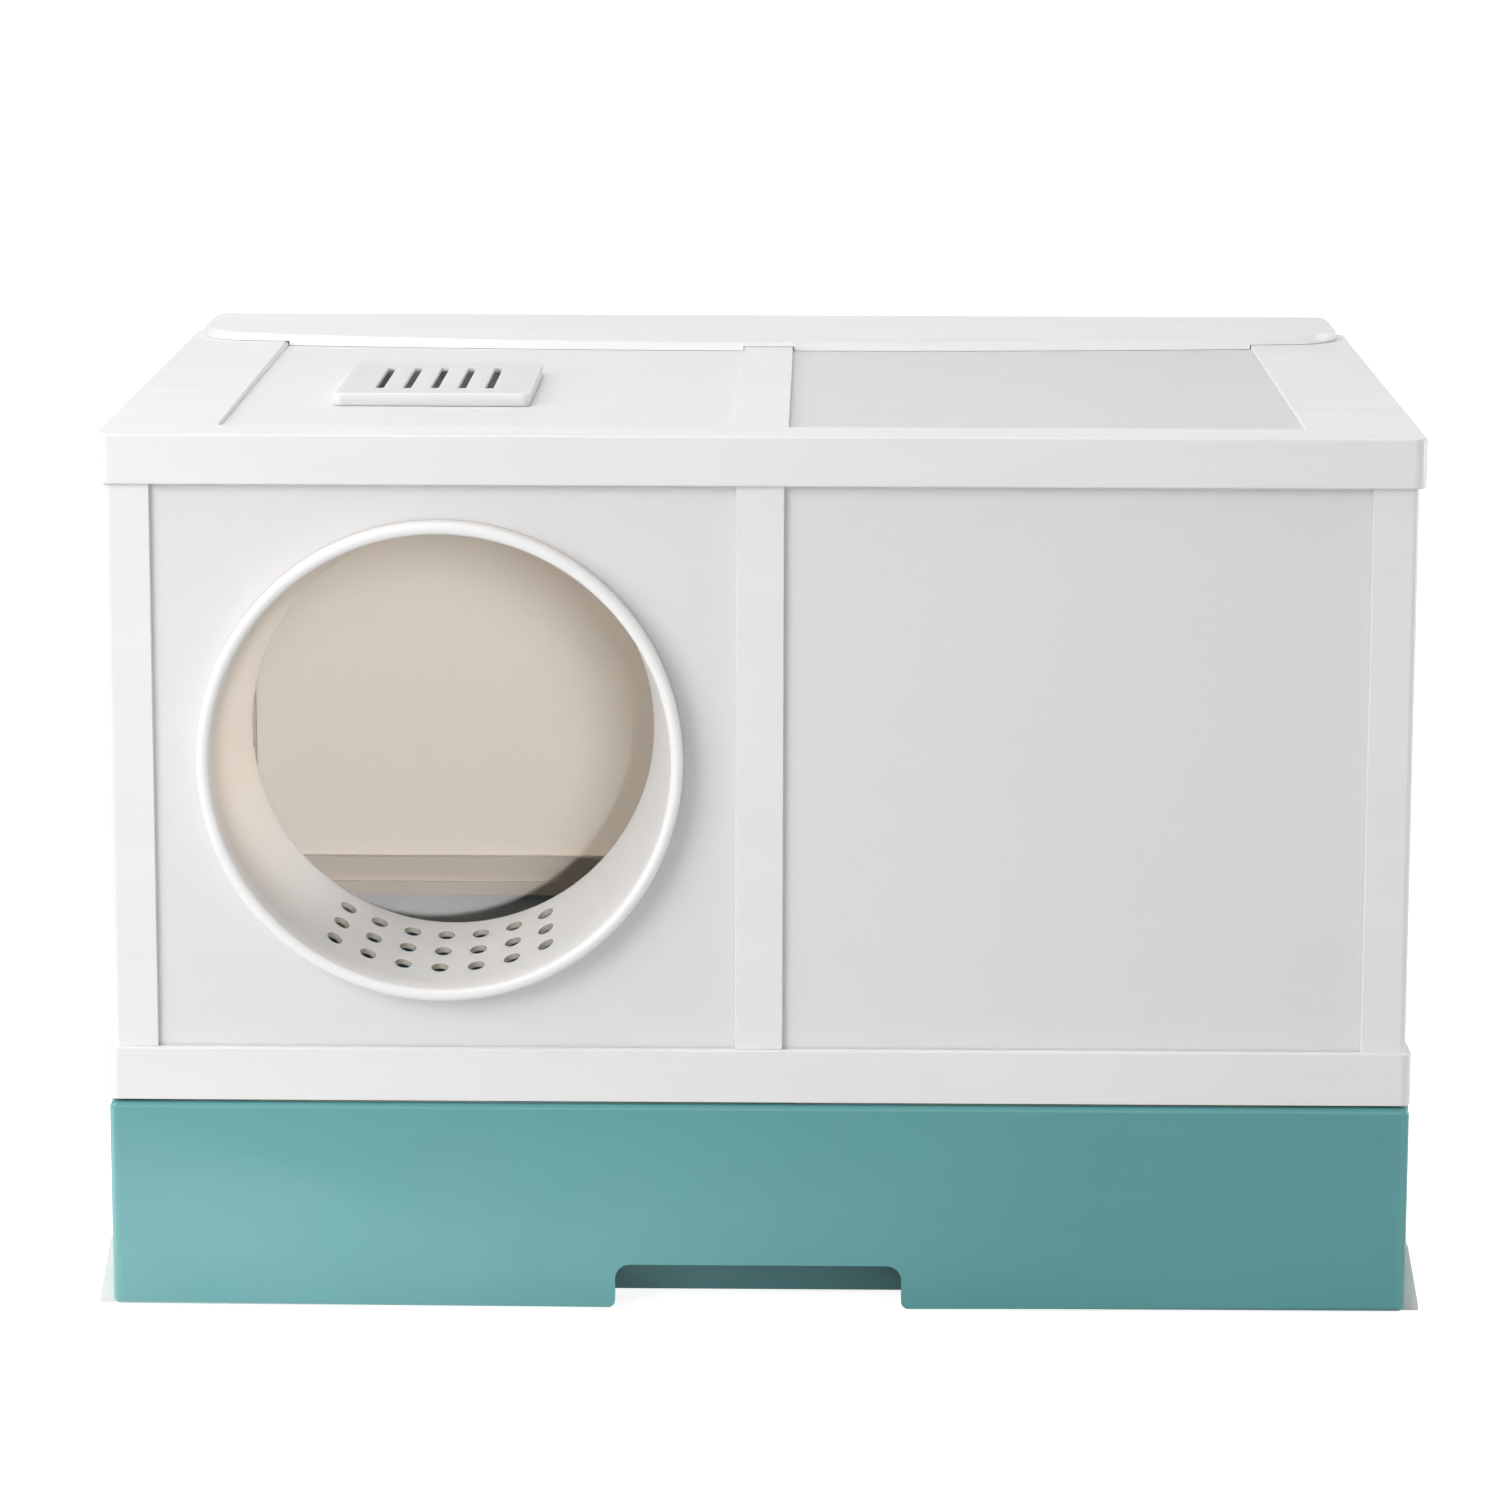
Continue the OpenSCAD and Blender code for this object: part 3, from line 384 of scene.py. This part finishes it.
tunnel_finish = tunnel_plastic()
# Painted shade: a dark dust-coloured tone for the hole walls in the tunnel's floor, for the dark
# tray below them
hole_shade_finish = moulded_plastic(
    "hole_wall_shade",
    (0.44, 0.42, 0.36),
    (0.34, 0.32, 0.27),
    gloss=(0.7, 0.85),
    scuff=0.2,
)
sheet_finish = wall_sheet(
    "wall_sheet",
    (0.935, 0.927, 0.93),
    (0.915, 0.907, 0.91),
    depth=0.006,
    warmth=(1.0, 0.95, 0.91),
)
# Painted warm light: the rear sheet is the wall sheet in a warmer tone with a warmer scatter, so
# the light it lets through colours the cabin warm
rear_finish = wall_sheet(
    "rear_sheet",
    (0.93, 0.90, 0.88),
    (0.91, 0.88, 0.86),
    depth=0.014,
    warmth=(1.0, 0.78, 0.62),
)
window_finish = window_sheet()
fleece_finish = filter_fleece()
steel_finish = zinc_steel()


def finish_node(name, finish):
    """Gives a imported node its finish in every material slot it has."""
    for slot in packed[name].material_slots:
        slot.material = finish


# ---------------------------------------------------------------- softened mouldings

SHARP_ANGLE = math.radians(40)

# Millimetres, each a little inside the outer face or over the lower edge that its name gives
SKIRT_FOOT, LID_TOP, LID_SIDE, LID_FRONT, LID_REAR, HINGE_SIDE = 371, 393.9, 283, -198, 204.5, 198
RECESS_END_LOW, RECESS_END_HIGH = 239, 241
CAP_TOP, VENT_TOP = 395, 397
DRAWER_FACE, DRAWER_SIDE, DRAWER_TOP, DRAWER_FOOT, HAND_SLOT_SIDE = -204.9, 285, 91, 4.5, 72
BAND_FOOT, BAND_SIDE, BAND_END = 97, 286, 201.5


def only(piece):
    """Leaves one object selected and active."""
    bpy.ops.object.select_all(action="DESELECT")
    piece.select_set(True)
    bpy.context.view_layer.objects.active = piece


def merged_copy(node, name):
    """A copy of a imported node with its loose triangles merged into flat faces."""
    only(packed[node])
    bpy.ops.object.duplicate()
    piece = bpy.context.object
    bpy.ops.object.parent_clear(type="CLEAR_KEEP_TRANSFORM")
    for key in [key for key in piece.keys() if key.startswith("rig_")]:
        del piece[key]
    piece.name = piece.data.name = name
    bpy.ops.mesh.customdata_custom_splitnormals_clear()
    bpy.ops.object.mode_set(mode="EDIT")
    bpy.ops.mesh.select_all(action="SELECT")
    bpy.ops.mesh.remove_doubles(threshold=0.001 * MM)
    bpy.ops.mesh.dissolve_limited(angle_limit=math.radians(0.5))
    bpy.ops.mesh.select_mode(type="EDGE")
    bpy.ops.object.mode_set(mode="OBJECT")
    return piece


def round_edges(piece, width, steps, wanted):
    """Rounds the outward edges that the test picks by their middle."""
    bpy.ops.object.mode_set(mode="EDIT")
    bpy.ops.mesh.select_all(action="DESELECT")
    shape = bmesh.from_edit_mesh(piece.data)
    for edge in shape.edges:
        outward = len(edge.link_faces) == 2 and edge.calc_face_angle_signed(0.0) > SHARP_ANGLE
        if outward and wanted(edge):
            edge.select_set(True)
    bmesh.update_edit_mesh(piece.data)
    bpy.ops.mesh.bevel(
        offset=width * MM,
        segments=steps,
        profile=0.5,
        affect="EDGES",
        clamp_overlap=False,
    )
    bpy.ops.object.mode_set(mode="OBJECT")


def settle(piece, nodes, body, finish):
    """Smooths a piece without shading its flat faces, gives it its finish and lets it ride."""
    only(piece)
    bpy.ops.object.shade_smooth_by_angle(angle=SHARP_ANGLE)
    piece.modifiers.new("even_normals", "WEIGHTED_NORMAL").keep_sharp = True
    bpy.ops.object.modifier_apply(modifier="even_normals")
    piece.data.materials.clear()
    piece.data.materials.append(finish)
    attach(piece, body)
    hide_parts(*nodes)
    return piece


def middle(edge):
    """The middle of an edge, in millimetres."""
    return (edge.verts[0].co + edge.verts[1].co) / (2 * MM)


def every_edge(edge):
    """Any edge at all."""
    return True


def longer_than(length):
    """Picks the edges over a length in millimetres."""
    return lambda edge: edge.calc_length() > length * MM


def lid_outline(edge):
    """The skirt's outer edges at the front and sides."""
    place = middle(edge)
    outer = abs(place.x) > LID_SIDE or place.y < LID_FRONT
    return outer and place.z > SKIRT_FOOT and place.y < HINGE_SIDE


def lid_back(edge):
    """The lid's long upper edge at the rear."""
    place = middle(edge)
    return place.z > LID_TOP and place.y > LID_REAR and edge.calc_length() > 100 * MM


def recess_ends(edge):
    """The upper edges at the outer ends of the lid's two openings."""
    place = middle(edge)
    return place.z > LID_TOP and RECESS_END_LOW < abs(place.x) < RECESS_END_HIGH


def cap_outline(edge):
    """The cap's upper edges in front and round its front corners."""
    place = middle(edge)
    return place.z > CAP_TOP and place.y < HINGE_SIDE


def vent_outline(edge):
    """The vent cover's upper edges."""
    return middle(edge).z > VENT_TOP


def drawer_outline(edge):
    """The drawer front's outer edges on its face."""
    place = middle(edge)
    beside_slot = place.z < DRAWER_FOOT and abs(place.x) > HAND_SLOT_SIDE
    outer = abs(place.x) > DRAWER_SIDE or place.z > DRAWER_TOP or beside_slot
    return outer and place.y < DRAWER_FACE


def band_outline(edge):
    """The base band's outer edges."""
    place = middle(edge)
    return place.z > BAND_FOOT and (abs(place.x) > BAND_SIDE or abs(place.y) > BAND_END)


def shade_hole_walls(piece):
    """Gives the walls of the holes in the tunnel's floor a dark, dust-coloured painted shade."""
    piece.data.materials.append(hole_shade_finish)
    back = max(point.co.y for point in piece.data.vertices)
    for face in piece.data.polygons:
        away = Vector((face.center.x - ENTRY_X, 0.0, face.center.z - ENTRY_Z))
        across = abs(face.normal.dot(away.normalized())) < 0.5
        in_tube = -0.199 < face.center.y < back - 0.002 and away.length < 0.1
        if across and in_tube and away.z < 0:
            face.material_index = 1


lid_moulding = merged_copy("lid_shell", "lid_moulding")
round_edges(lid_moulding, 1.6, 4, recess_ends)
round_edges(lid_moulding, 0.3, 2, lid_back)
round_edges(lid_moulding, 0.9, 3, lid_outline)
settle(lid_moulding, ["lid_shell"], "lid", white_moulding)

cap_moulding = merged_copy("lid_rear_cap", "cap_moulding")
round_edges(cap_moulding, 0.3, 2, cap_outline)
settle(cap_moulding, ["lid_rear_cap"], "lid", white_moulding)

vent_moulding = merged_copy("vent_cover", "vent_moulding")
round_edges(vent_moulding, 0.5, 3, vent_outline)
settle(vent_moulding, ["vent_cover"], "vent", vent_plastic)

for side in ("front", "rear", "left", "right"):
    wall_moulding = merged_copy(f"{side}_frame", f"{side}_wall_moulding")
    round_edges(wall_moulding, 0.4, 2, longer_than(8))
    settle(wall_moulding, [f"{side}_frame"], "cabinet", white_moulding)

base_moulding = merged_copy("base_frame", "base_moulding")
round_edges(base_moulding, 0.7, 3, band_outline)
settle(base_moulding, ["base_frame"], "cabinet", white_moulding)

for corner in ("front_left", "front_right", "rear_left", "rear_right"):
    foot = merged_copy(f"foot_{corner}", f"foot_moulding_{corner}")
    round_edges(foot, 0.4, 2, every_edge)
    settle(foot, [f"foot_{corner}"], "cabinet", foot_moulding)

drawer_face = merged_copy("drawer_front", "drawer_face")
round_edges(drawer_face, 2.3, 5, drawer_outline)
settle(drawer_face, ["drawer_front"], "drawer", drawer_moulding)

litter_tray = merged_copy("drawer_tray", "litter_tray")
round_edges(litter_tray, 0.7, 3, longer_than(20))
settle(litter_tray, ["drawer_tray"], "drawer", tray_moulding)

tunnel_moulding = merged_copy("entry_tunnel", "tunnel_moulding")
settle(tunnel_moulding, ["entry_tunnel"], "cabinet", tunnel_finish)
shade_hole_walls(tunnel_moulding)

front_and_side_panels = ("front_panel_left", "front_panel_right", "left_panel", "right_panel")
for finish, nodes in (
    (sheet_finish, (*front_and_side_panels, "lid_panel_left")),
    (rear_finish, ("rear_panel_left", "rear_panel_right")),
    (white_moulding, ("entry_lock_ring", "filter_tray")),
    (steel_finish, ("cap_screws", "drawer_screws", "hinge_pins")),
    (window_finish, ("lid_window_right",)),
    (peg_plastic, ("panel_pegs",)),
):
    for node in nodes:
        finish_node(node, finish)


# ---------------------------------------------------------------- filter pad

PINCH_WIDTH = 5 * MM
PINCHED = 0.55  # share of the pad's thickness that is left at its edge


def fleece_pad():
    """A die-cut fleece pad, pinched round its edge, with its needled surface in the mesh."""
    low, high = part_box("filter_pad")
    size = high - low
    bpy.ops.object.select_all(action="DESELECT")
    bpy.ops.mesh.primitive_cube_add(size=1.0, location=(low + high) / 2)
    pad = bpy.context.object
    pad.name = pad.data.name = "fleece_pad"
    bpy.ops.object.mode_set(mode="EDIT")
    bpy.ops.mesh.select_all(action="SELECT")
    bpy.ops.transform.resize(value=(size.x - 1.0 * MM, size.y - 1.0 * MM, size.z - 0.8 * MM))
    bpy.ops.mesh.subdivide(number_cuts=40, smoothness=0.0)
    bpy.ops.object.mode_set(mode="OBJECT")
    bpy.ops.object.transform_apply(location=True, rotation=True, scale=True)
    heart = (low + high) / 2
    for point in pad.data.vertices:
        to_side = 1 - abs(point.co.x - heart.x) / (size.x / 2)
        to_end = 1 - abs(point.co.y - heart.y) / (size.y / 2)
        rim = min(1.0, max(0.0, min(to_side * size.x, to_end * size.y) / PINCH_WIDTH))
        thickness = PINCHED + (1 - PINCHED) * rim * (2 - rim)
        point.co.z = heart.z + (point.co.z - heart.z) * thickness
    fleece = bpy.data.textures.new("needled_fleece", "CLOUDS")
    fleece.noise_scale = 3 * MM
    needled = pad.modifiers.new("needled", "DISPLACE")
    needled.texture = fleece
    needled.strength = 0.5 * MM
    needled.mid_level = 1.0
    only(pad)
    bpy.ops.object.modifier_apply(modifier="needled")
    bpy.ops.object.shade_smooth()
    pad.data.materials.append(fleece_finish)
    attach(pad, "lid")
    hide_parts("filter_pad")


fleece_pad()


# ---------------------------------------------------------------- studio

GLOW_HEART = (-0.50, -0.80, 0.0)  # middle of the floor's glow, its depth squeezed as the glow is
SHOWN_GLOW = 0.88  # the glow that the camera sees
ENTRY_MOUTH = (-0.1405, -0.205, 0.2495)
LENS, SENSOR_WIDTH = 131.57, 36.0
DOWNWARD, TURN, LEAN = 0.187, 0.0134, 0.0025  # the camera's angles in radians


def seen_directly(tree):
    """High for the camera's, reflected and transmitted rays, which show the backdrop itself."""
    rays = tree.nodes.new("ShaderNodeLightPath").outputs
    shown = arithmetic(tree, "MAXIMUM", rays["Is Camera Ray"], rays["Is Glossy Ray"])
    return arithmetic(tree, "MAXIMUM", shown, rays["Is Transmission Ray"])


def soft_room(light):
    """An even pale room that shows white."""
    room = bpy.data.worlds.new("soft_room")
    bpy.context.scene.world = room
    room.use_nodes = True
    tree = room.node_tree
    lit = tree.nodes["Background"]
    lit.inputs["Color"].default_value = (1.0, 1.0, 1.0, 1.0)
    lit.inputs["Strength"].default_value = light
    white = tree.nodes.new("ShaderNodeBackground")
    white.inputs["Color"].default_value = (1.0, 1.0, 1.0, 1.0)
    white.inputs["Strength"].default_value = 1.0
    mix = tree.nodes.new("ShaderNodeMixShader")
    tree.links.new(seen_directly(tree), mix.inputs["Fac"])
    tree.links.new(lit.outputs["Background"], mix.inputs[1])
    tree.links.new(white.outputs["Background"], mix.inputs[2])
    tree.links.new(mix.outputs["Shader"], tree.nodes["World Output"].inputs["Surface"])


def white_floor(near, far):
    """A pale floor that shows white with a faint shadow, and glows most at the front left."""
    bpy.ops.object.select_all(action="DESELECT")
    bpy.ops.mesh.primitive_plane_add(size=60.0, location=(0.0, 0.0, 0.0))
    floor = bpy.context.object
    floor.name = "studio_floor"
    finish = bpy.data.materials.new("studio_floor")
    finish.use_nodes = True
    tree = finish.node_tree
    tree.nodes.remove(tree.nodes["Principled BSDF"])
    paper = tree.nodes.new("ShaderNodeBsdfDiffuse")
    paper.inputs["Color"].default_value = (0.6, 0.6, 0.6, 1.0)
    lift = tree.nodes.new("ShaderNodeEmission")
    place = tree.nodes.new("ShaderNodeTexCoord")
    reach = tree.nodes.new("ShaderNodeVectorMath")
    reach.operation = "DISTANCE"
    reach.inputs[1].default_value = GLOW_HEART
    squeeze = tree.nodes.new("ShaderNodeMapping")
    squeeze.inputs["Scale"].default_value = (1.0, 2.5, 1.0)
    tree.links.new(place.outputs["Object"], squeeze.inputs["Vector"])
    tree.links.new(squeeze.outputs["Vector"], reach.inputs[0])
    glow = spread(tree, reach.outputs["Value"], 0.1, 0.65, near, far)
    path = tree.nodes.new("ShaderNodeLightPath")
    shown = arithmetic(tree, "MULTIPLY", path.outputs["Is Camera Ray"], SHOWN_GLOW)
    hidden = arithmetic(tree, "SUBTRACT", 1.0, path.outputs["Is Camera Ray"])
    glow = arithmetic(tree, "MULTIPLY", glow, hidden)
    tree.links.new(arithmetic(tree, "ADD", glow, shown), lift.inputs["Strength"])
    lifted = tree.nodes.new("ShaderNodeAddShader")
    tree.links.new(paper.outputs["BSDF"], lifted.inputs[0])
    tree.links.new(lift.outputs["Emission"], lifted.inputs[1])
    mix = tree.nodes.new("ShaderNodeMixShader")
    tree.links.new(seen_directly(tree), mix.inputs["Fac"])
    tree.links.new(paper.outputs["BSDF"], mix.inputs[1])
    tree.links.new(lifted.outputs["Shader"], mix.inputs[2])
    tree.links.new(mix.outputs["Shader"], tree.nodes["Material Output"].inputs["Surface"])
    floor.data.materials.append(finish)


def hang_lamp(lamp, place, target):
    """Hangs a lamp at a place, aimed at a point and out of the camera's sight."""
    hung = bpy.data.objects.new(lamp.name, lamp)
    bpy.context.scene.collection.objects.link(hung)
    hung.location = place
    hung.rotation_euler = (Vector(target) - Vector(place)).to_track_quat("-Z", "Y").to_euler()
    hung.visible_camera = False


def softbox(name, place, target, size, power):
    """A square soft lamp."""
    lamp = bpy.data.lights.new(name, "AREA")
    lamp.size = size
    lamp.energy = power
    hang_lamp(lamp, place, target)


def snooted_spot(name, place, target, width, power):
    """A soft-edged lamp that lights only a round patch, its width in degrees."""
    lamp = bpy.data.lights.new(name, "SPOT")
    lamp.spot_size = math.radians(width)
    lamp.spot_blend = 0.6
    lamp.shadow_soft_size = 0.012
    lamp.energy = power
    hang_lamp(lamp, place, target)


soft_room(0.43)
white_floor(4.6, 0.42)
softbox("left_softbox", (-1.2, -1.35, 0.95), (0.0, -0.2, 0.2), 1.1, 19.0)
softbox("overhead_softbox", (-0.6, -0.1, 2.2), (0.0, 0.0, 0.3), 1.4, 13.5)
softbox("right_softbox", (1.3, -1.3, 0.5), (0.1, -0.2, 0.15), 0.9, 1.4)
softbox("rear_softbox", (0.1, 1.5, 0.2), (0.0, 0.2, 0.2), 0.38, 9.0)
softbox("side_softbox", (1.75, 0.25, 0.28), (0.3, 0.0, 0.2), 0.5, 8.0)
snooted_spot("entry_spot", (0.10, -2.5, 0.66), ENTRY_MOUTH, 5.1, 114.0)
snooted_spot("tunnel_spot", (1.0, -1.84, 0.35), ENTRY_MOUTH, 5.0, 115.0)

view = bpy.data.cameras.new("front_view")
view.sensor_width = SENSOR_WIDTH
view.lens = LENS
view.clip_start, view.clip_end = 0.05, 100.0
camera = bpy.data.objects.new("front_view", view)
bpy.context.scene.collection.objects.link(camera)
camera.location = (0.0275, -2.5695, 0.7029)
level = Euler((math.pi / 2 - DOWNWARD, 0.0, TURN)).to_matrix()
camera.rotation_euler = (level @ Matrix.Rotation(LEAN, 3, "Z")).to_euler()
bpy.context.scene.camera = camera
bpy.context.scene.view_settings.view_transform = "Standard"
